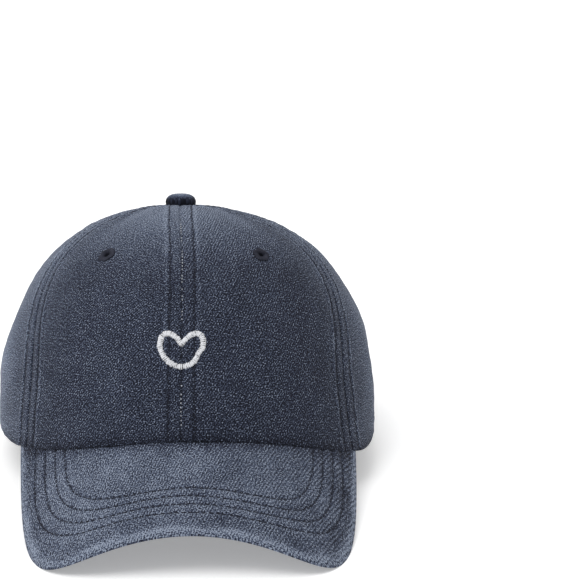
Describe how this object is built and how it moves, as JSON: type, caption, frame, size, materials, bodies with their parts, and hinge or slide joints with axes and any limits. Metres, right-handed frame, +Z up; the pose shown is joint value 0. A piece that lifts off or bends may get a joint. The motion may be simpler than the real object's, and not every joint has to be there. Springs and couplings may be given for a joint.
{
  "type": "ponytail baseball cap",
  "caption": "Washed navy cotton baseball cap with curved peak, heart embroidery, teardrop ponytail hole, half-moon back opening and slide-buckle strap.",
  "frame": {"origin": "middle of the bottom of the box round the cap as it rests, on the surface that it rests on", "axes": "+Z up, the front and the peak face -Y, +X to the right as seen from the front"},
  "size_m": [0.185, 0.2576, 0.1264],
  "materials": {
    "twill": "washed navy cotton twill",
    "peak_twill": "faded navy cotton twill",
    "button_twill": "dark navy twill",
    "binding_twill": "dark navy twill with worn edges",
    "strap_twill": "dark navy twill, creased",
    "thread": "dark navy sewing thread",
    "white_thread": "white satin stitch",
    "antique_brass": "antique brass, worn bright at the edges"
  },
  "bodies": {
    "root": {"panel_front_left": "twill", "eyelet_front_left": "thread", "panel_front_right": "twill", "eyelet_front_right": "thread", "panel_side_left": "twill", "panel_side_right": "twill", "panel_back_left": "twill", "eyelet_back_left": "thread", "panel_back_right": "twill", "eyelet_back_right": "thread", "button": "button_twill", "peak": "peak_twill", "embroidered_heart": "white_thread", "arch_binding": "binding_twill", "ponytail_binding": "binding_twill", "strap_long": "strap_twill", "strap_short": "strap_twill", "buckle": "antique_brass"}
  },
  "joints": []
}
